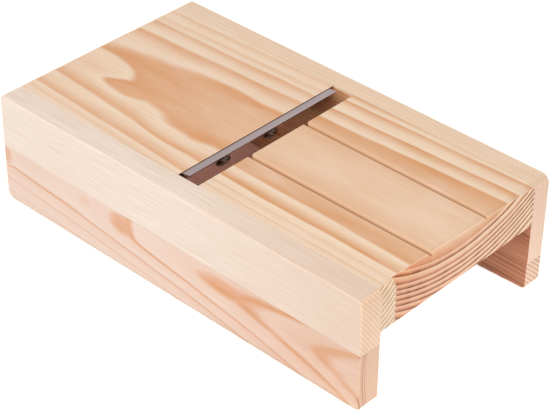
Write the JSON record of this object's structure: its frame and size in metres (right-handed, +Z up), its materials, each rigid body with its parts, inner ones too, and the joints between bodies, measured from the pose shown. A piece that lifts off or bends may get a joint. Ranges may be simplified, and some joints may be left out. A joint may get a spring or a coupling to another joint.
{
  "type": "soap cutter",
  "caption": "Wooden soap planer: a flat table between two side walls, a bedded steel blade in its throat, and V-grooves that guide a corner for bevelling.",
  "frame": {"origin": "centre of the footprint, on the surface that the side walls stand on", "axes": "+X along the table towards the infeed end (soap is pushed towards -X), +Y towards the far side wall, +Z up"},
  "size_m": [0.205, 0.114, 0.0531],
  "materials": {
    "wall_pine": "planed and sanded pine, unvarnished",
    "table_pine": "planed and sanded pine, unvarnished",
    "blade_steel": "satin ground steel",
    "screw_steel": "dark plated steel"
  },
  "bodies": {
    "table": {"near_wall_lower": "wall_pine", "near_wall_upper": "wall_pine", "far_wall_lower": "wall_pine", "far_wall_upper": "wall_pine", "outfeed_board": "table_pine", "outfeed_near_lamella": "table_pine", "infeed_board": "table_pine", "infeed_near_lamella": "table_pine", "blade_screw_near": "screw_steel", "blade_screw_far": "screw_steel"},
    "blade": {"blade": "blade_steel"}
  },
  "joints": [
    {"name": "blade_depth", "type": "slide", "parent": "table", "child": "blade", "axis": [0.7071, 0, 0.7071], "range_m": [-0.0015, 0.001]}
  ]
}
